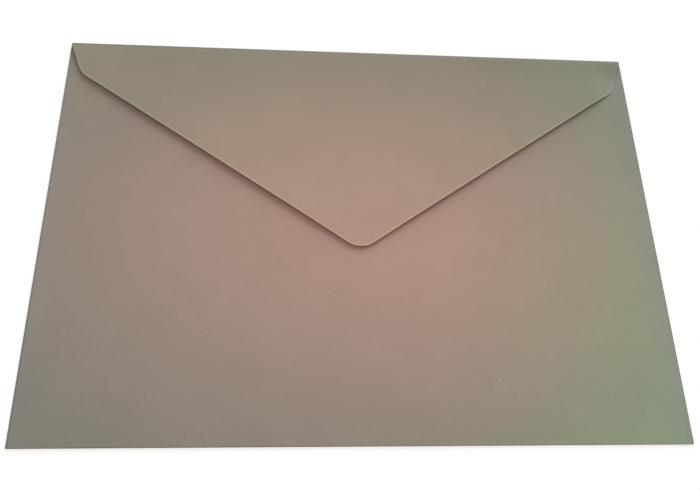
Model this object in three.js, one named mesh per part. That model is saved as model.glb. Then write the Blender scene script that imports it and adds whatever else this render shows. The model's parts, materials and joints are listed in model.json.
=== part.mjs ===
// A kraft envelope lying face down, with its pointed seal flap folded shut over the back.
// Millimetres, +Z up. The origin lies under the middle of the closed envelope, on the table.
// X runs along the long sides and +Y points to the top crease, where the seal flap turns.
//
// A real envelope is one die-cut sheet. Here each panel between two folds is a piece of its own,
// and so is each fold: a half round roll of paper that wraps the layers between its two panels.

import * as THREE from 'three';

// Driving dimensions

const width = 229; // side fold to side fold, closed
const height = 162; // bottom fold to top crease, closed

const paper = 0.15; // the sheet, about 120 g per square metre
const pocketAir = 0.3; // air left in the empty pocket
const glueFilm = 0.05; // dried seam glue
const gumFilm = 0.05; // dried gum on the seal flap
const flapAir = 1.5; // under the gum: the flap is shut but springs up, as it isn't stuck down

const seamFlapWidth = 18; // the narrow flaps under the back panel's sides
const seamFlapRelief = 1; // cut back from each end of the side fold
const seamFlapTaper = 5; // how much shorter each end is at the free edge
const seamFlapRadius = 3;

const glueWidth = 9;
const glueInset = 5; // from the side fold's outer edge
const glueEndClear = 12; // from each end of the seam flap
const glueRadius = 3;

const backInset = 0.8; // the back panel's cut sides lie this far inside the side folds
const earClear = 0.8; // from the top of its corners to the crease's axis
const earWidth = 10; // from the side fold's outer edge to where the throat starts to dip
const earRadius = 5;
const throatRun = 14; // how far along X the throat takes to dip
const throatDepth = 14; // the mouth's edge, under the crease's outer edge
const throatRadius = 9;

const flapLength = 91.1; // crease's outer edge to where the two flanks would meet
const flapTipRadius = 7;
const flapRootInset = 0.6; // the flap's corners at the crease, inside the side folds
const kneeInset = 6; // where shoulder and flank meet, inside the side folds
const kneeDrop = 15.6; // and under the crease's outer edge
const kneeRadius = 8;
const creaseClear = 0.1; // between the flap's root and the crease's roll

const gumEdge = 3; // bare paper between the gum and the flap's edge
const gumWidth = 12;
const gumEndInset = 18; // from the side folds to the ends of the gum
const gumEndRadius = 3;
const gumTipRadius = 5;

const rollSteps = 10; // flat steps in each half round roll
const arcSteps = 10; // flat steps in each rounded corner

// The stack, from the table up

const seamFlapBottom = paper + pocketAir;
const glueBottom = seamFlapBottom + paper;
const backBottom = glueBottom + glueFilm;
const backTop = backBottom + paper;
const gumBottom = backTop + flapAir;
const flapBottom = gumBottom + gumFilm;

// A roll is half as high as the stack that it wraps

const sideFoldRadius = (seamFlapBottom + paper) / 2;
const bottomFoldRadius = backTop / 2;
const creaseRadius = (flapBottom + paper) / 2;

// The straight panels end where the rolls start

const sideFoldX = width / 2 - sideFoldRadius;
const bottomFoldY = bottomFoldRadius - height / 2;
const creaseY = height / 2 - creaseRadius;

// Colours and finishes

const kraft = { color: 0xa0886f, roughness: 0.88, metalness: 0 };
const kraftRoll = { color: 0xa88f76, roughness: 0.85, metalness: 0 };
const driedGlue = { color: 0xcdbb98, roughness: 0.4, metalness: 0 };
const driedGum = { color: 0xb39a78, roughness: 0.3, metalness: 0 };

// A closed outline through corners [x, y, radius], each rounded to its own radius

function roundedOutline(corners) {
  const outline = new THREE.Shape();
  corners.forEach(([x, y, radius], i) => {
    const corner = new THREE.Vector2(x, y);
    const last = corners[(i + corners.length - 1) % corners.length];
    const next = corners[(i + 1) % corners.length];
    const back = new THREE.Vector2(last[0], last[1]).sub(corner).normalize();
    const ahead = new THREE.Vector2(next[0], next[1]).sub(corner).normalize();
    const halfAngle = Math.acos(back.dot(ahead)) / 2;
    const cutBack = radius / Math.tan(halfAngle);
    const start = corner.clone().addScaledVector(back, cutBack);
    if (i === 0) {
      outline.moveTo(start.x, start.y);
    } else {
      outline.lineTo(start.x, start.y);
    }
    if (radius === 0) {
      return;
    }
    const inward = back.clone().add(ahead).normalize();
    const centre = corner.clone().addScaledVector(inward, radius / Math.sin(halfAngle));
    const end = corner.clone().addScaledVector(ahead, cutBack);
    const startAngle = Math.atan2(start.y - centre.y, start.x - centre.x);
    const endAngle = Math.atan2(end.y - centre.y, end.x - centre.x);
    const turnsRight = back.cross(ahead) > 0;
    outline.absarc(centre.x, centre.y, radius, startAngle, endAngle, turnsRight);
  });
  outline.closePath();
  return outline;
}

// The same corners on the other side of the Y axis, in reverse, so that the outline goes on

function mirrored(corners) {
  return corners.map(([x, y, radius]) => [-x, y, radius]).reverse();
}

function namedMesh(name, geometry, finish) {
  const mesh = new THREE.Mesh(geometry, new THREE.MeshStandardMaterial(finish));
  mesh.name = name;
  return mesh;
}

// A flat sheet or film, cut to an outline and standing on its lower face

function sheet(name, outline, thickness, bottom, finish) {
  const options = { depth: thickness, bevelEnabled: false, curveSegments: arcSteps };
  const mesh = namedMesh(name, new THREE.ExtrudeGeometry(outline, options), finish);
  mesh.position.z = bottom;
  return mesh;
}

// A fold: the paper's half round roll, bulging out towards the heading.
// It starts at the given point of the fold's axis and runs to the right of that heading.

function foldRoll(name, radius, length, start, heading) {
  const section = new THREE.Shape();
  section.absarc(0, 0, radius, -Math.PI / 2, Math.PI / 2, false);
  section.absarc(0, 0, radius - paper, Math.PI / 2, -Math.PI / 2, true);
  const options = { depth: length, bevelEnabled: false, curveSegments: rollSteps };
  const mesh = namedMesh(name, new THREE.ExtrudeGeometry(section, options), kraftRoll);
  mesh.rotation.set(Math.PI / 2, 0, heading, 'ZYX');
  mesh.position.set(start.x, start.y, radius);
  return mesh;
}

// The address side: it lies on the table and every other panel folds in from its edges

function frontPanel() {
  const corners = [
    [sideFoldX, bottomFoldY, 0],
    [sideFoldX, creaseY, 0],
  ];
  return sheet('front_panel', roundedOutline([...corners, ...mirrored(corners)]), paper, 0, kraft);
}

function sideFolds() {
  const length = creaseY - bottomFoldY;
  const right = { x: sideFoldX, y: creaseY };
  const left = { x: -sideFoldX, y: bottomFoldY };
  return [
    foldRoll('side_fold_right', sideFoldRadius, length, right, 0),
    foldRoll('side_fold_left', sideFoldRadius, length, left, Math.PI),
  ];
}

// A narrow flap folded in over the pocket's side, with both ends tapered

function seamFlap(name, side) {
  const low = bottomFoldY + seamFlapRelief;
  const high = creaseY - seamFlapRelief;
  const free = sideFoldX - seamFlapWidth;
  const corners = [
    [sideFoldX, low, 0],
    [sideFoldX, high, 0],
    [free, high - seamFlapTaper, seamFlapRadius],
    [free, low + seamFlapTaper, seamFlapRadius],
  ];
  const outline = roundedOutline(side > 0 ? corners : mirrored(corners));
  return sheet(name, outline, paper, seamFlapBottom, kraft);
}

// The line of dried glue that holds the back panel down on a seam flap

function seamGlue(name, side) {
  const outer = width / 2 - glueInset;
  const inner = outer - glueWidth;
  const low = bottomFoldY + seamFlapRelief + glueEndClear;
  const high = creaseY - seamFlapRelief - glueEndClear;
  const corners = [
    [outer, low, glueRadius],
    [outer, high, glueRadius],
    [inner, high, glueRadius],
    [inner, low, glueRadius],
  ];
  const outline = roundedOutline(side > 0 ? corners : mirrored(corners));
  return sheet(name, outline, glueFilm, glueBottom, driedGlue);
}

function bottomFold() {
  const half = width / 2 - backInset;
  return foldRoll('bottom_fold', bottomFoldRadius, 2 * half, { x: half, y: bottomFoldY }, -Math.PI / 2);
}

// The back panel comes up from the bottom fold. Its top edge is the mouth of the pocket:
// two ears that reach the crease, and between them a throat that dips in a shallow S.

function backPanel() {
  const half = width / 2 - backInset;
  const earTop = creaseY - earClear;
  const throatX = width / 2 - earWidth - throatRun;
  const corners = [
    [half, bottomFoldY, 0],
    [half, earTop, 0],
    [width / 2 - earWidth, earTop, earRadius],
    [throatX, height / 2 - throatDepth, throatRadius],
  ];
  const outline = roundedOutline([...corners, ...mirrored(corners)]);
  return sheet('back_panel', outline, paper, backBottom, kraft);
}

// The crease takes the sheet from the address side round to the seal flap

function flapFold() {
  const half = width / 2 - flapRootInset;
  return foldRoll('flap_fold', creaseRadius, 2 * half, { x: -half, y: creaseY }, Math.PI / 2);
}

// The seal flap and its gum are drawn from the crease's axis, where y is 0.
// A drop is measured from the crease's outer edge, which lies one radius beyond the axis.

function fromAxis(drop) {
  return creaseRadius - drop;
}

function sealFlap() {
  const corners = [
    [0, fromAxis(flapLength), flapTipRadius],
    [width / 2 - kneeInset, fromAxis(kneeDrop), kneeRadius],
    [width / 2 - flapRootInset, -creaseClear, 0],
  ];
  const outline = roundedOutline([...corners, ...mirrored(corners.slice(1))]);
  return sheet('seal_flap', outline, paper, flapBottom, kraft);
}

// A band of gum along both flanks, the same distance inside the flap's edge all the way

function flapGum() {
  const kneeX = width / 2 - kneeInset;
  const slope = (flapLength - kneeDrop) / kneeX;
  const perOffset = Math.hypot(1, slope); // how far the flank's line rises for each mm of offset
  const endX = width / 2 - gumEndInset;
  const outerPoint = fromAxis(flapLength) + gumEdge * perOffset;
  const innerPoint = outerPoint + gumWidth * perOffset;
  const ends = [
    [endX, outerPoint + slope * endX, gumEndRadius],
    [endX, innerPoint + slope * endX, gumEndRadius],
  ];
  const corners = [
    [0, outerPoint, gumTipRadius],
    ...ends,
    [0, innerPoint, gumTipRadius],
    ...mirrored(ends),
  ];
  return sheet('flap_gum', roundedOutline(corners), gumFilm, gumBottom, driedGum);
}

// The hinged part, with its own origin on the crease's axis

function flapAssembly() {
  const assembly = new THREE.Group();
  assembly.position.y = creaseY;
  assembly.add(sealFlap(), flapGum());
  return assembly;
}

const envelope = new THREE.Group();
envelope.add(
  frontPanel(),
  ...sideFolds(),
  seamFlap('seam_flap_right', 1),
  seamFlap('seam_flap_left', -1),
  seamGlue('seam_glue_right', 1),
  seamGlue('seam_glue_left', -1),
  bottomFold(),
  backPanel(),
  flapFold(),
  flapAssembly(),
);

export default envelope;
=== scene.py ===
import json
import math

import bmesh
import bpy
from mathutils import Matrix, Quaternion, Vector


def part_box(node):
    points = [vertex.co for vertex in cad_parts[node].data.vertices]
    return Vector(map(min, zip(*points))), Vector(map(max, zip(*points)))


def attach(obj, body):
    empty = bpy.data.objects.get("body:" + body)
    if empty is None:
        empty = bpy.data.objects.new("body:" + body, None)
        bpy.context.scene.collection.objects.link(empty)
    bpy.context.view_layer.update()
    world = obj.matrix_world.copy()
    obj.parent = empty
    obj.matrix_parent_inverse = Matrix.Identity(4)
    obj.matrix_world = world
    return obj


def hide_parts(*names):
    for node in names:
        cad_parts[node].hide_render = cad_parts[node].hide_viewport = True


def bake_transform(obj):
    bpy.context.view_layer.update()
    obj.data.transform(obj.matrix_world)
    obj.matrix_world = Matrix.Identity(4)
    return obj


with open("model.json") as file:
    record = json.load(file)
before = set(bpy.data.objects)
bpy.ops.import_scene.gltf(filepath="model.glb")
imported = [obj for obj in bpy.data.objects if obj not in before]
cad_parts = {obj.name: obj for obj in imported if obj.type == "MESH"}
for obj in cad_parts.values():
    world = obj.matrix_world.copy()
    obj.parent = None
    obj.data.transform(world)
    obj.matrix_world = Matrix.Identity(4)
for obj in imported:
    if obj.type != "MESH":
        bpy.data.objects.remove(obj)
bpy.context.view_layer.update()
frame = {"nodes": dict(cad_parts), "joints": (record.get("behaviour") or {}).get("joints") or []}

mm = 0.001
hinge = Vector(frame["joints"][0]["pos_m"])

# the envelope's main sizes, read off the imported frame
backLow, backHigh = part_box("back_panel")
frontLow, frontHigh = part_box("front_panel")
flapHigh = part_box("seal_flap")[1]
gumLow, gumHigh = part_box("flap_gum")
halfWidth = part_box("side_fold_right")[1].x
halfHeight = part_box("flap_fold")[1].y
paper = backHigh.z - backLow.z


# 0 up to low, 1 from high on, and a smooth S between them
def smoothStep(low, high, value):
    t = min(max((value - low) / (high - low), 0), 1)
    return t * t * (3 - 2 * t)


# the photo's camera
photoView = {
    "width": 700,                                # pixels
    "focal": 795.6,                              # pixels
    "spot": (-0.02284, -0.13327, 0.26604),
    "bearing": 11.064,                           # degrees to the right of +Y
    "dip": 64.372,                               # degrees below level
    "roll": 10.809,
    "shift": (-0.01684, 0.00334),                # of the picture's width
    "sensor": 36,                                # millimetres across
    "nearest": 0.01,                             # metres
}

# its light, from behind and right, and the white it stands on
studio = {
    "ambient": 0.58,
    "ambientTone": (1.10, 0.97, 0.93, 1),        # warm where the cooler lamp is hidden
    "sunTo": (0.47, 0.88, 0.42),                 # towards the lamp
    "sunTone": (0.81, 1.06, 1.13),
    "sunStrength": 2.35,
    "sunAngle": 50,                              # degrees across, for soft edges
    "floorSize": 6.0,
    "floorDrop": 0.00003,                        # keeps it clear of the front panel
    "floorPaint": (0.93, 0.93, 0.93, 1),
    "glowStrength": 1.15,                        # the floor's own light
    "glowShare": 0.6,                            # and its share, to the camera only
}


def addCamera():
    data = bpy.data.cameras.new("photoCamera")
    data.sensor_width = photoView["sensor"]
    data.lens = photoView["focal"] * data.sensor_width / photoView["width"]
    data.clip_start = photoView["nearest"]
    camera = bpy.data.objects.new("photoCamera", data)
    camera.location = photoView["spot"]
    data.shift_x, data.shift_y = photoView["shift"]
    bearing, dip = math.radians(photoView["bearing"]), math.radians(photoView["dip"])
    level = math.cos(dip)
    look = Vector((math.sin(bearing) * level, math.cos(bearing) * level, -math.sin(dip)))
    turn = Quaternion((0, 0, 1), math.radians(photoView["roll"]))
    camera.rotation_mode = "QUATERNION"
    camera.rotation_quaternion = look.to_track_quat("-Z", "Y") @ turn
    bpy.context.scene.collection.objects.link(camera)
    bpy.context.scene.camera = camera


def addSun():
    data = bpy.data.lights.new("softSun", "SUN")
    data.energy = studio["sunStrength"]
    data.color = studio["sunTone"]
    data.angle = math.radians(studio["sunAngle"])
    sun = bpy.data.objects.new("softSun", data)
    sun.rotation_mode = "QUATERNION"
    sun.rotation_quaternion = Vector(studio["sunTo"]).to_track_quat("Z", "Y")
    bpy.context.scene.collection.objects.link(sun)


def addWorld():
    world = bpy.data.worlds.new("studioWorld")
    world.use_nodes = True
    bpy.context.scene.world = world
    tree = world.node_tree
    tree.nodes.clear()
    path = addNode(tree, "LightPath").outputs
    seen = mathNode(tree, "MAXIMUM", path["Is Camera Ray"], path["Is Glossy Ray"])
    seen = mathNode(tree, "MAXIMUM", seen, path["Is Transmission Ray"])
    strength = mapNode(tree, seen, 0, 1, studio["ambient"], 1)
    tone = mixColour(tree, seen, studio["ambientTone"], (1, 1, 1, 1))
    background = addNode(tree, "Background", {"Color": tone, "Strength": strength})
    addNode(tree, "OutputWorld", {"Surface": background.outputs[0]})


def addFloor():
    bm = bmesh.new()
    bmesh.ops.create_grid(bm, x_segments=1, y_segments=1, size=studio["floorSize"] / 2)
    bmesh.ops.translate(bm, verts=bm.verts[:], vec=(0, 0, -studio["floorDrop"]))
    floor = meshObject("studioFloor", bm, [])
    material = bpy.data.materials.new("whiteFloor")
    material.use_nodes = True
    tree = material.node_tree
    tree.nodes.clear()
    seen = addNode(tree, "LightPath").outputs["Is Camera Ray"]
    share = mathNode(tree, "MULTIPLY", seen, studio["glowShare"])
    matt = addNode(tree, "BsdfDiffuse", {"Color": studio["floorPaint"]})
    glow = addNode(tree, "Emission", {"Strength": studio["glowStrength"]})
    mix = addNode(tree, "MixShader", {0: share, 1: matt.outputs[0], 2: glow.outputs[0]})
    addNode(tree, "OutputMaterial", {"Surface": mix.outputs[0]})
    floor.data.materials.append(material)


def newGroup(name, inputs, outputs):
    group = bpy.data.node_groups.new(name, "ShaderNodeTree")
    for socketName, kind, value in inputs:
        socket = group.interface.new_socket(socketName, in_out="INPUT", socket_type=kind)
        if value is not None:
            socket.default_value = value
    for socketName, kind in outputs:
        group.interface.new_socket(socketName, in_out="OUTPUT", socket_type=kind)
    return group, group.nodes.new("NodeGroupInput"), group.nodes.new("NodeGroupOutput")


# links each input that is a socket, and sets the others
def feedNode(tree, node, inputs):
    for key, value in inputs.items():
        if isinstance(value, bpy.types.NodeSocket):
            tree.links.new(value, node.inputs[key])
        else:
            node.inputs[key].default_value = value


def addNode(tree, kind, inputs=None, **settings):
    node = tree.nodes.new("ShaderNode" + kind)
    for key, value in settings.items():
        setattr(node, key, value)
    feedNode(tree, node, inputs or {})
    return node


def placeGroup(tree, group, inputs):
    return addNode(tree, "Group", inputs, node_tree=group)


def mathNode(tree, operation, a, b=0.0):
    return addNode(tree, "Math", {0: a, 1: b}, operation=operation).outputs[0]


def noiseNode(tree, place, pattern):
    return addNode(tree, "TexNoise", {"Vector": place, **pattern}).outputs["Fac"]


def mixColour(tree, share, a, b, blend="MIX"):
    inputs = {0: share, 6: a, 7: b}              # the sockets of a mix of two colours
    return addNode(tree, "Mix", inputs, data_type="RGBA", blend_type=blend).outputs[2]


def mapNode(tree, value, low, high, toLow, toHigh, kind="LINEAR"):
    inputs = {"Value": value, "From Min": low, "From Max": high,
              "To Min": toLow, "To Max": toHigh}
    return addNode(tree, "MapRange", inputs, interpolation_type=kind).outputs["Result"]


def smoothMap(tree, value, low, high, toLow=0.0, toHigh=1.0):
    return mapNode(tree, value, low, high, toLow, toHigh, "SMOOTHSTEP")


pulpPattern = {
    "strands": ((8, 9), (97, 7), (41, 6), (139, 6)),     # degrees, and how stretched
    "strandShift": (3.7, 1.9),                   # metres from one layer to the next
    "strandNoise": {"Scale": 330.0, "Detail": 2.5, "Roughness": 0.55},
    "strandSpan": (0.56, 0.78),                  # from no fibre to a whole one
    "fleckNoise": {"Scale": 900.0, "Detail": 1.0},
    "fleckSpan": (0.68, 0.76),
    "cloudNoise": {"Scale": 42.0, "Detail": 5.0, "Roughness": 0.62},
    "grainNoise": {"Scale": 1500.0, "Detail": 2.0},
    "fibreRelief": 0.6,
    "grainRelief": 0.5,
    "roughSpan": (0.4, 0.8),
    "roughness": (0.93, 0.8),                    # fibres are a little smoother
}


# long pale fibres, dark flecks and soft clouds of pulp, with the relief they leave
def makePulpGroup():
    group, given, out = newGroup(
        "kraftPulp",
        [("Vector", "NodeSocketVector", None), ("Fibre Scale", "NodeSocketFloat", 1.0)],
        [("Fibres", "NodeSocketFloat"), ("Flecks", "NodeSocketFloat"),
         ("Clouds", "NodeSocketFloat"), ("Relief", "NodeSocketFloat"),
         ("Roughness", "NodeSocketFloat")])
    place = given.outputs["Vector"]
    fibreScale = given.outputs["Fibre Scale"]
    shiftX, shiftY = pulpPattern["strandShift"]
    layers = []
    for index, (angle, stretch) in enumerate(pulpPattern["strands"]):
        turned = addNode(group, "Mapping", {
            "Vector": place,
            "Location": (index * shiftX, index * shiftY, 0),
            "Rotation": (0, 0, math.radians(angle))})
        drawn = addNode(group, "Mapping", {
            "Vector": turned.outputs[0],
            "Scale": (1, stretch, 1)})
        scaled = addNode(group, "VectorMath", {0: drawn.outputs[0], 3: fibreScale},
                         operation="SCALE")
        layers.append(noiseNode(group, scaled.outputs[0], pulpPattern["strandNoise"]))
    across = mathNode(group, "MAXIMUM", layers[0], layers[1])
    aslant = mathNode(group, "MAXIMUM", layers[2], layers[3])
    strands = mathNode(group, "MAXIMUM", across, aslant)
    fibres = smoothMap(group, strands, *pulpPattern["strandSpan"])
    flecks = smoothMap(group, noiseNode(group, place, pulpPattern["fleckNoise"]),
                       *pulpPattern["fleckSpan"])
    clouds = noiseNode(group, place, pulpPattern["cloudNoise"])
    grain = noiseNode(group, place, pulpPattern["grainNoise"])
    raised = mathNode(group, "MULTIPLY", fibres, pulpPattern["fibreRelief"])
    grained = mathNode(group, "MULTIPLY", grain, pulpPattern["grainRelief"])
    relief = mathNode(group, "ADD", raised, grained)
    rough = smoothMap(group, strands, *pulpPattern["roughSpan"],
                      *pulpPattern["roughness"])
    feedNode(group, out, {"Fibres": fibres, "Flecks": flecks, "Clouds": clouds,
                          "Relief": relief, "Roughness": rough})
    return group


kraftTone = {
    "heart": (0.481, 0.304, 0.249, 1),           # rosy, under the flap's point, where the painted light is brightest
    "rim": (0.244, 0.232, 0.187, 1),             # olive, towards the edges, and darker there: painted shade
    "green": (0.274, 0.380, 0.229, 1),           # only half reached at the right edge
    "leftSide": (0.98, 1.04, 1.12, 1),           # times the tone, along each side fold
    "rightSide": (0.98, 0.95, 1.12, 1),
    "crease": (1.08, 1.10, 1.20, 1),             # times the tone, along the crease
    "warm": (1.15, 1.09, 1.02, 1),               # and about the crease's left end, paler and warmer: painted light
    "heartAt": (0.0082, -0.0031),                # places and lengths are in metres
    "heartReach": (0.192, 0.119),
    "heartTurn": -6.8,                           # degrees
    "greenFrom": 0.021,
    "greenTo": 0.197,
    "greenTurn": -18.8,                          # degrees
    "sideRun": 0.010,                            # how far in from a side fold
    "creaseRun": 0.0035,                         # how far down from the crease
    "paintedLightAt": (-0.1145, 0.075),
    "paintedLightReach": 0.042,
    "flapTint": (1.0, 1.04, 0.98, 1),            # times heart, rim and green
    "insideTint": (0.97, 0.96, 0.94, 1),
}


# a slow drift of tone, from a rosy middle to olive edges, with painted shade darkening it
# towards the edges
def makeDriftGroup():
    group, given, out = newGroup(
        "toneDrift",
        [("Vector", "NodeSocketVector", None),
         ("Heart", "NodeSocketColor", kraftTone["heart"]),
         ("Rim", "NodeSocketColor", kraftTone["rim"]),
         ("Corner", "NodeSocketColor", kraftTone["green"]),
         ("Left Side", "NodeSocketColor", kraftTone["leftSide"]),
         ("Right Side", "NodeSocketColor", kraftTone["rightSide"]),
         ("Crease", "NodeSocketColor", kraftTone["crease"]),
         ("Painted Light", "NodeSocketColor", kraftTone["warm"])],
        [("Color", "NodeSocketColor")])
    tones = given.outputs
    spot = tones["Vector"]

    # rosy at the heart, olive a reach away from it and darker there: painted shade towards the
    # edges
    place = addNode(group, "Mapping", {
        "Vector": spot,
        "Location": (*kraftTone["heartAt"], 0),
        "Rotation": (0, 0, math.radians(kraftTone["heartTurn"])),
        "Scale": (*kraftTone["heartReach"], 1)}, vector_type="TEXTURE")
    fromHeart = addNode(group, "VectorMath", {0: place.outputs[0]}, operation="LENGTH")
    towardRim = smoothMap(group, fromHeart.outputs["Value"], 0, 1)
    tone = mixColour(group, towardRim, tones["Heart"], tones["Rim"])

    # greener towards the lower right corner
    turned = addNode(group, "Mapping", {
        "Vector": spot,
        "Rotation": (0, 0, math.radians(kraftTone["greenTurn"]))}, vector_type="TEXTURE")
    along = addNode(group, "SeparateXYZ", {0: turned.outputs[0]}).outputs["X"]
    towardCorner = smoothMap(group, along, kraftTone["greenFrom"], kraftTone["greenTo"])
    tone = mixColour(group, towardCorner, tone, tones["Corner"])

    # another tone in a narrow strip along the crease and each side
    parted = addNode(group, "SeparateXYZ", {0: spot}).outputs
    across, up = parted["X"], parted["Y"]
    towardCrease = smoothMap(group, up, halfHeight - kraftTone["creaseRun"], halfHeight)
    tone = mixColour(group, towardCrease, tone, tones["Crease"], "MULTIPLY")
    towardSide = smoothMap(group, mathNode(group, "ABSOLUTE", across),
                           halfWidth - kraftTone["sideRun"], halfWidth)
    sideTone = mixColour(group, mathNode(group, "GREATER_THAN", across),
                         tones["Left Side"], tones["Right Side"])
    tone = mixColour(group, towardSide, tone, sideTone, "MULTIPLY")

    # and paler and warmer about the crease's left end: painted light
    fromPaintedLight = addNode(group, "VectorMath", {0: spot, 1: (*kraftTone["paintedLightAt"], 0)},
                       operation="DISTANCE")
    towardPaintedLight = smoothMap(group, fromPaintedLight.outputs["Value"], kraftTone["paintedLightReach"], 0)
    tone = mixColour(group, towardPaintedLight, tone, tones["Painted Light"], "MULTIPLY")
    feedNode(group, out, {"Color": tone})
    return group


def newMaterial(name):
    material = bpy.data.materials.new(name)
    material.use_nodes = True
    tree = material.node_tree
    shader = tree.nodes["Principled BSDF"]
    place = tree.nodes.new("ShaderNodeTexCoord").outputs["Object"]
    return material, tree, shader, place


kraftFinish = {
    "fibreTone": (0.75, 0.66, 0.55, 1),
    "fibreLift": 0.05,                           # how far a fibre goes towards its tone
    "fleckTone": (0.12, 0.08, 0.05, 1),
    "fleckDrop": 0.10,
    "cloudSpan": (0.3, 0.7),
    "cloudSwing": 0.03,
    "pressedRimHighlight": 0.28,                             # how much paler the rim is: partly pressed fibres, partly a painted highlight
    "specular": 0.25,
    "bump": 0.25,
    "bumpDepth": 0.00004,                        # metres
}


# the drift of tone, with its three main colours times the tint
def placeDrift(tree, drift, place, tint):
    inputs = {"Vector": place}
    for socketName, key in (("Heart", "heart"), ("Rim", "rim"), ("Corner", "green")):
        inputs[socketName] = [value * share for value, share in zip(kraftTone[key], tint)]
    return placeGroup(tree, drift, inputs).outputs["Color"]


# joins tone, roughness and relief to the shader, with the finish's own constants
def finishShader(tree, shader, finish, tone, rough, relief):
    bump = addNode(tree, "Bump", {"Height": relief, "Strength": finish["bump"],
                                  "Distance": finish["bumpDepth"]})
    feedNode(tree, shader, {"Base Color": tone, "Roughness": rough,
                            "Specular IOR Level": finish["specular"],
                            "Normal": bump.outputs[0]})


def makeKraft(name, pulp, drift, tint=(1, 1, 1, 1)):
    material, tree, shader, place = newMaterial(name)
    fibre = placeGroup(tree, pulp, {"Vector": place}).outputs
    tone = placeDrift(tree, drift, place, tint)
    swing = kraftFinish["cloudSwing"]
    cloud = mapNode(tree, fibre["Clouds"], *kraftFinish["cloudSpan"],
                    1 - swing, 1 + swing)
    tone = mixColour(tree, 1.0, tone, cloud, "MULTIPLY")
    # the rim along the cuts is paler: partly pressed fibres, partly a painted highlight
    rim = addNode(tree, "Attribute", attribute_name="rim").outputs["Fac"]
    pressedRimHighlightLift = mapNode(tree, rim, 0, 1, 1, 1 + kraftFinish["pressedRimHighlight"])
    tone = mixColour(tree, 1.0, tone, pressedRimHighlightLift, "MULTIPLY")
    pale = mathNode(tree, "MULTIPLY", fibre["Fibres"], kraftFinish["fibreLift"])
    tone = mixColour(tree, pale, tone, kraftFinish["fibreTone"])
    dark = mathNode(tree, "MULTIPLY", fibre["Flecks"], kraftFinish["fleckDrop"])
    tone = mixColour(tree, dark, tone, kraftFinish["fleckTone"])
    finishShader(tree, shader, kraftFinish, tone, fibre["Roughness"], fibre["Relief"])
    return material


cutFinish = {
    "dark": (0.40, 0.31, 0.24, 1),
    "pale": (0.52, 0.42, 0.33, 1),
    "fibreScale": 2.5,
    "specular": 0.2,
    "bump": 0.5,
    "bumpDepth": 0.00004,                        # metres
}


def makeCutEdge(pulp):
    material, tree, shader, place = newMaterial("kraftCutEdge")
    inputs = {"Vector": place, "Fibre Scale": cutFinish["fibreScale"]}
    fibre = placeGroup(tree, pulp, inputs).outputs
    tone = mixColour(tree, fibre["Clouds"], cutFinish["dark"], cutFinish["pale"])
    finishShader(tree, shader, cutFinish, tone, fibre["Roughness"], fibre["Relief"])
    return material


gumFinish = {
    "tint": (0.93, 0.84, 0.66, 1),
    "fibreLift": 0.06,
    "streakNoise": {"Scale": 60.0, "Detail": 3.0},
    "streakSpan": (0.35, 0.65),
    "roughness": (0.2, 0.42),
    "rippleNoise": {"Scale": 260.0, "Detail": 2.0},
    "specular": 0.5,
    "bump": 0.4,
    "bumpDepth": 0.0001,                         # metres
}


def makeGum(pulp, drift):
    material, tree, shader, place = newMaterial("driedGum")
    fibre = placeGroup(tree, pulp, {"Vector": place}).outputs
    tone = placeDrift(tree, drift, place, gumFinish["tint"])
    pale = mathNode(tree, "MULTIPLY", fibre["Fibres"], gumFinish["fibreLift"])
    tone = mixColour(tree, pale, tone, kraftFinish["fibreTone"])
    streak = noiseNode(tree, place, gumFinish["streakNoise"])
    rough = smoothMap(tree, streak, *gumFinish["streakSpan"], *gumFinish["roughness"])
    ripple = noiseNode(tree, place, gumFinish["rippleNoise"])
    finishShader(tree, shader, gumFinish, tone, rough, ripple)
    return material


glueFinish = {
    "dark": (0.56, 0.47, 0.32, 1),
    "pale": (0.72, 0.66, 0.50, 1),
    "patchNoise": {"Scale": 180.0, "Detail": 3.0},
    "patchSpan": (0.3, 0.7),
    "roughness": (0.3, 0.5),
    "specular": 0.5,
    "bump": 0.3,
    "bumpDepth": 0.0001,                         # metres
}


def makeGlue():
    material, tree, shader, place = newMaterial("driedGlue")
    patch = noiseNode(tree, place, glueFinish["patchNoise"])
    tone = mixColour(tree, patch, glueFinish["dark"], glueFinish["pale"])
    rough = smoothMap(tree, patch, *glueFinish["patchSpan"], *glueFinish["roughness"])
    finishShader(tree, shader, glueFinish, tone, rough, patch)
    return material


# how every sheet is cut and folded
pressedRimHighlightWidth = 1 * mm                              # the strip that the die has pressed, which also carries a painted highlight
cutSoftening = 0.2                               # of the sheet's thickness
cutSteps = 2
cornerSteps = 8
rollSteps = 16
snap = 1e-7                                      # metres
sideways = 0.5                                   # the share of a normal that tells a side


def meshObject(name, bm, materials):
    mesh = bpy.data.meshes.new(name)
    bm.to_mesh(mesh)
    bm.free()
    for material in materials:
        mesh.materials.append(material)
    piece = bpy.data.objects.new(name, mesh)
    bpy.context.scene.collection.objects.link(piece)
    return piece


# a flat face through corners (x, y, radius), each rounded to its radius
def roundedFace(corners):
    bm = bmesh.new()
    verts = [bm.verts.new((x, y, 0)) for x, y, radius in corners]
    bm.faces.new(verts)
    for vert, (x, y, radius) in zip(verts, corners):
        if radius > 0:
            ways = [edge.other_vert(vert).co - vert.co for edge in vert.link_edges]
            cutBack = radius / math.tan(ways[0].angle(ways[1]) / 2)
            bmesh.ops.bevel(bm, geom=[vert], offset=cutBack, segments=cornerSteps,
                            profile=0.5, affect="VERTICES", material=-1)
    bmesh.ops.recalc_face_normals(bm, faces=bm.faces[:])
    if bm.faces[0].normal.z < 0:
        bmesh.ops.reverse_faces(bm, faces=bm.faces[:])
    return bm


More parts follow.
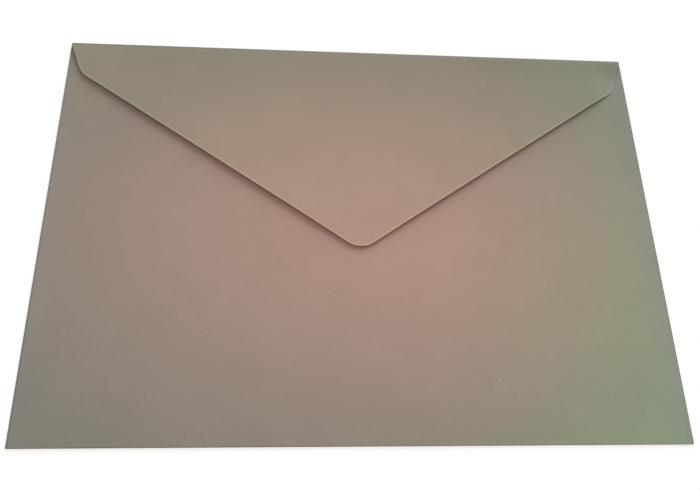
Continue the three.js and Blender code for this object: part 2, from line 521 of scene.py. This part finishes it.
# rules the face into cells, so that it can bow
def ruleIntoCells(bm, cell):
    for axis in (0, 1):
        normal = Vector((0, 0, 0))
        normal[axis] = 1
        low = min(vert.co[axis] for vert in bm.verts)
        high = max(vert.co[axis] for vert in bm.verts)
        count = max(round((high - low) / cell), 1)
        for step in range(1, count):
            point = normal * (low + (high - low) * step / count)
            bmesh.ops.bisect_plane(bm, geom=bm.verts[:] + bm.edges[:] + bm.faces[:],
                                   dist=snap, plane_co=point, plane_no=normal)


# marks the strip along the cuts, where the die has pressed the paper and a highlight is painted:
# 1 at a cut, 0 inside and at a fold
def markPressedRimHighlight(bm, width, isFold):
    bmesh.ops.inset_region(bm, faces=bm.faces[:], thickness=width, use_boundary=True,
                           use_even_offset=True)
    rim = bm.verts.layers.float.new("rim")
    for vert in bm.verts:
        vert[rim] = 1 if vert.is_boundary and not isFold(vert.co) else 0


# gives the sheet its thickness, downwards from its face, and softens the cut edge
def thicken(bm, thickness):
    under = bmesh.ops.extrude_face_region(bm, geom=bm.faces[:])
    moved = [item for item in under["geom"] if isinstance(item, bmesh.types.BMVert)]
    bmesh.ops.translate(bm, verts=moved, vec=(0, 0, -thickness))
    bmesh.ops.recalc_face_normals(bm, faces=bm.faces[:])
    rim = [face for face in bm.faces if abs(face.normal.z) < sideways]
    for face in rim:
        face.material_index = 1
    inRim = set(rim)
    sharp = [edge for edge in bm.edges
             if len([face for face in edge.link_faces if face in inRim]) == 1]
    bmesh.ops.bevel(bm, geom=sharp, offset=thickness * cutSoftening, segments=cutSteps,
                    profile=0.5, affect="EDGES", material=1, clamp_overlap=True)
    for face in bm.faces:
        face.smooth = True
    for edge in bm.edges:                        # the sheet stays flat up to its cuts
        edge.smooth = len({face.material_index for face in edge.link_faces}) == 1


# a sheet cut to its corners, with its face laid on a surface(x, y)
def paperSheet(name, corners, cell, surface, thickness, materials, isFold):
    bm = roundedFace(corners)
    markPressedRimHighlight(bm, pressedRimHighlightWidth, isFold)
    ruleIntoCells(bm, cell)
    for vert in bm.verts:
        vert.co.z = surface(vert.co.x, vert.co.y)
    thicken(bm, thickness)
    return meshObject(name, bm, materials)


# half a roll of paper round an axis from start to end, bulging out towards out
def foldRoll(name, start, end, out, radius, materials):
    bm = bmesh.new()
    low = Vector((0, 0, -radius))
    ends = [bm.verts.new(start + low), bm.verts.new(end + low)]
    edge = bm.edges.new(ends)
    along = (end - start).normalized()
    angle = math.pi if along.cross(low).dot(out) > 0 else -math.pi
    bmesh.ops.spin(bm, geom=ends + [edge], cent=start, axis=along, dvec=(0, 0, 0),
                   angle=angle, space=Matrix.Identity(4), steps=rollSteps,
                   use_merge=False, use_normal_flip=False, use_duplicate=False)
    for face in bm.faces:                        # every face looks away from the axis
        outward = face.calc_center_median() - start
        outward -= along * outward.dot(along)
        if face.normal.dot(outward) < 0:
            face.normal_flip()
    skin = bm.faces[:]
    inner = bmesh.ops.extrude_face_region(bm, geom=skin)
    for item in inner["geom"]:
        if isinstance(item, bmesh.types.BMVert):
            arm = item.co - start
            arm -= along * arm.dot(along)
            item.co -= arm.normalized() * paper
    bmesh.ops.recalc_face_normals(bm, faces=bm.faces[:])
    for face in bm.faces:
        face.smooth = True
        if abs(face.normal.dot(along)) > sideways:
            face.material_index = 1
            face.smooth = False
    return meshObject(name, bm, materials)


backShape = {
    "earWidth": 10 * mm,                         # up to where the throat dips
    "earRadius": 5 * mm,
    "throatRun": 14 * mm,
    "throatDepth": 14 * mm,
    "throatRadius": 9 * mm,
    "pillow": 0.05 * mm,                         # the pocket's air lifts the middle
    "pillowAcross": (18 * mm, 70 * mm),          # where that starts and is whole
    "pillowUp": (4 * mm, 60 * mm),
    "ripple": 0.03 * mm,
    "rippleWaves": ((71, 38), (-23, 97)),        # radians for each metre of x and of y
    "cell": 4.2 * mm,                            # keeps its rulings off the straight cuts
}


def backSurface(x, y):
    rise = smoothStep(*backShape["pillowAcross"], halfWidth - abs(x))
    rise *= smoothStep(*backShape["pillowUp"], halfHeight + y)
    waves = sum(math.sin(x * byX + y * byY) for byX, byY in backShape["rippleWaves"])
    return backHigh.z + (backShape["pillow"] + backShape["ripple"] * waves) * rise


def makeBackPanel(kraft, cutEdge):
    half = backHigh.x
    throatX = halfWidth - backShape["earWidth"] - backShape["throatRun"]
    right = [
        (half, backLow.y, 0),
        (half, backHigh.y, 0),
        (halfWidth - backShape["earWidth"], backHigh.y, backShape["earRadius"]),
        (throatX, halfHeight - backShape["throatDepth"], backShape["throatRadius"]),
    ]
    corners = right + [(-x, y, radius) for x, y, radius in reversed(right)]
    panel = paperSheet("backSheet", corners, backShape["cell"], backSurface, paper,
                       [kraft, cutEdge],
                       lambda spot: abs(spot.x) > half - pressedRimHighlightWidth
                       or spot.y < backLow.y + pressedRimHighlightWidth)
    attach(panel, "pocket")
    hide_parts("back_panel")


seamShape = {
    "relief": 0.1 * mm,                          # cut back from each end of the side fold
    "taper": 8.5 * mm,                           # its corners stay under the throat's slope
    "radius": 3 * mm,
    "cell": 6 * mm,
}


def makeSeamFlap(name, side, kraft, cutEdge):
    low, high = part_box("seam_flap_right")
    bottom, top = frontLow.y + seamShape["relief"], frontHigh.y - seamShape["relief"]
    corners = [
        (side * high.x, bottom, 0),
        (side * high.x, top, 0),
        (side * low.x, top - seamShape["taper"], seamShape["radius"]),
        (side * low.x, bottom + seamShape["taper"], seamShape["radius"]),
    ]
    flap = paperSheet("seamSheet_" + name, corners, seamShape["cell"],
                      lambda x, y: high.z, high.z - low.z, [kraft, cutEdge],
                      lambda spot: abs(spot.x) > high.x - pressedRimHighlightWidth)
    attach(flap, "pocket")
    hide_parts("seam_flap_" + name)


flapShape = {
    "length": 90.97 * mm,                        # to where the flanks would meet
    "tipX": 1.29 * mm,                           # folded a little askew
    "tipRadius": 8 * mm,
    "tipSag": 0.5 * mm,                          # how far the point hangs
    "tipReach": 32 * mm,
    "kneeInset": 6 * mm,
    "kneeDrops": {1: 15.9 * mm, -1: 15.0 * mm},  # right and left
    "kneeRadii": {1: 6 * mm, -1: 9 * mm},
    "rootTrims": {1: 0.55 * mm, -1: 0.15 * mm},  # each end's step in from the solid's
    "flankSags": {1: 0.3 * mm, -1: 0.1 * mm},    # how far each half hangs on its way out
    "flankSpan": (30 * mm, 80 * mm),             # and between where, from the middle
    "kneeSags": {1: 1.15 * mm, -1: 0.35 * mm},   # how much further its knee hangs
    "kneeSpan": (98 * mm, 111 * mm),
    "kneeRuns": {1: 8 * mm, -1: 15 * mm},        # from the crease to where the knee hangs
    "ripple": 0.02 * mm,
    "rippleWave": (64, 51),                      # radians for each metre of x and of y
    "cell": 3.2 * mm,                            # keeps its rulings off the corners
}


def rootX(side):
    return side * (flapHigh.x - flapShape["rootTrims"][side])


# how far the flap hangs below its highest level
def flapDrop(x, y):
    side = 1 if x > 0 else -1
    fromCrease = smoothStep(0, flapShape["kneeRuns"][side], hinge.y - y)
    sag = flapShape["flankSags"][side] * smoothStep(*flapShape["flankSpan"], abs(x))
    sag += flapShape["kneeSags"][side] * smoothStep(*flapShape["kneeSpan"], abs(x))
    fromTip = math.hypot(x - flapShape["tipX"], y - halfHeight + flapShape["length"])
    tip = flapShape["tipSag"] * (1 - smoothStep(0, flapShape["tipReach"], fromTip))
    byX, byY = flapShape["rippleWave"]
    ripple = flapShape["ripple"] * (1 + math.sin(x * byX + y * byY))
    return (sag + ripple) * fromCrease + tip


def flapSurface(x, y):
    return flapHigh.z - flapDrop(x, y)


def makeSealFlap(kraft, cutEdge):
    kneeX = halfWidth - flapShape["kneeInset"]
    kneeY = {side: halfHeight - drop for side, drop in flapShape["kneeDrops"].items()}
    corners = [
        (flapShape["tipX"], halfHeight - flapShape["length"], flapShape["tipRadius"]),
        (kneeX, kneeY[1], flapShape["kneeRadii"][1]),
        (rootX(1), hinge.y, 0),
        (rootX(-1), hinge.y, 0),
        (-kneeX, kneeY[-1], flapShape["kneeRadii"][-1]),
    ]
    flap = paperSheet("flapSheet", corners, flapShape["cell"], flapSurface, paper,
                      [kraft, cutEdge], lambda spot: spot.y > hinge.y - pressedRimHighlightWidth)
    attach(flap, "flap")
    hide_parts("seal_flap")


gumShape = {
    "edge": 3 * mm,                              # bare paper outside the gum
    "width": 12 * mm,
    "endInset": 18 * mm,
    "endRadius": 3 * mm,
    "tipRadius": 5 * mm,
    "clear": 0.002 * mm,                         # under the flap's paper
    "cell": 3.05 * mm,
}


def gumSurface(x, y):
    return flapSurface(x, y) - paper - gumShape["clear"]


# a V whose arms run along the flap's flanks, each at its own slope
def makeFlapGum(gum):
    kneeX = halfWidth - flapShape["kneeInset"]
    tipX = flapShape["tipX"]
    endX = halfWidth - gumShape["endInset"]
    slope = (flapShape["length"] - flapShape["kneeDrops"][1]) / (kneeX - tipX)
    perOffset = math.hypot(1, slope)             # the rise that one unit of offset takes
    outerPoint = halfHeight - flapShape["length"] + gumShape["edge"] * perOffset
    innerPoint = outerPoint + gumShape["width"] * perOffset
    corners = [(tipX, outerPoint, gumShape["tipRadius"])]
    for side, points in ((1, (outerPoint, innerPoint)), (-1, (innerPoint, outerPoint))):
        rise = flapShape["length"] - flapShape["kneeDrops"][side]
        slope = rise / (kneeX - side * tipX)     # the flank's own
        for point in points:
            end = point + slope * (endX - side * tipX)
            corners.append((side * endX, end, gumShape["endRadius"]))
        if side > 0:
            corners.append((tipX, innerPoint, gumShape["tipRadius"]))
    band = paperSheet("gumBand", corners, gumShape["cell"], gumSurface,
                      gumHigh.z - gumLow.z, [gum, gum], lambda spot: False)
    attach(band, "flap")
    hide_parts("flap_gum")


# widens a fold towards the front panel, which is broader than the panel on top
def splay(roll, low, high):
    places = [vert.co.x for vert in roll.data.vertices]
    left, right = min(places), max(places)
    for vert in roll.data.vertices:
        toFront = 1 - smoothStep(low, high, vert.co.z)
        vert.co.x += (halfWidth - right if vert.co.x > 0 else -halfWidth - left) * toFront


def makeFolds(kraft, cutEdge):
    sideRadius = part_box("side_fold_right")[1].z / 2
    sideX = halfWidth - sideRadius
    for side, name in ((1, "right"), (-1, "left")):
        low = Vector((side * sideX, frontLow.y, sideRadius))
        high = Vector((side * sideX, frontHigh.y, sideRadius))
        roll = foldRoll("sideRoll_" + name, low, high, Vector((side, 0, 0)), sideRadius,
                        [kraft, cutEdge])
        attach(roll, "pocket")
        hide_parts("side_fold_" + name)
    bottomRadius = backHigh.z / 2
    left = Vector((backLow.x, frontLow.y, bottomRadius))
    right = Vector((backHigh.x, frontLow.y, bottomRadius))
    roll = foldRoll("bottomRoll", left, right, Vector((0, -1, 0)), bottomRadius,
                    [kraft, cutEdge])
    splay(roll, bottomRadius, 2 * bottomRadius)
    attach(roll, "pocket")
    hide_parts("bottom_fold")


def makeCrease(kraft, cutEdge):
    radius = hinge.z
    left = Vector((rootX(-1), hinge.y, radius))
    right = Vector((rootX(1), hinge.y, radius))
    crease = foldRoll("creaseRoll", left, right, Vector((0, 1, 0)), radius,
                      [kraft, cutEdge])
    splay(crease, 0, 2 * radius)
    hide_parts("flap_fold")
    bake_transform(crease)


def paintNode(node, material):
    piece = frame["nodes"][node]
    piece.data.materials.clear()
    piece.data.materials.append(material)


bpy.context.scene.view_settings.view_transform = "Standard"
addCamera()
addSun()
addWorld()
addFloor()
print("studio and camera stand")

pulpGroup = makePulpGroup()
driftGroup = makeDriftGroup()
kraft = makeKraft("kraftPaper", pulpGroup, driftGroup)
kraftFlap = makeKraft("kraftFlap", pulpGroup, driftGroup, kraftTone["flapTint"])
kraftInside = makeKraft("kraftInside", pulpGroup, driftGroup, kraftTone["insideTint"])
cutEdge = makeCutEdge(pulpGroup)
gum = makeGum(pulpGroup, driftGroup)
glue = makeGlue()
print("paper, gum and glue mixed")

makeBackPanel(kraft, cutEdge)
makeSealFlap(kraftFlap, cutEdge)
makeFlapGum(gum)
makeFolds(kraft, cutEdge)
makeCrease(kraftFlap, cutEdge)
for side, name in ((1, "right"), (-1, "left")):
    makeSeamFlap(name, side, kraftInside, cutEdge)
    paintNode("seam_glue_" + name, glue)
paintNode("front_panel", kraft)
print("envelope folded and dressed")
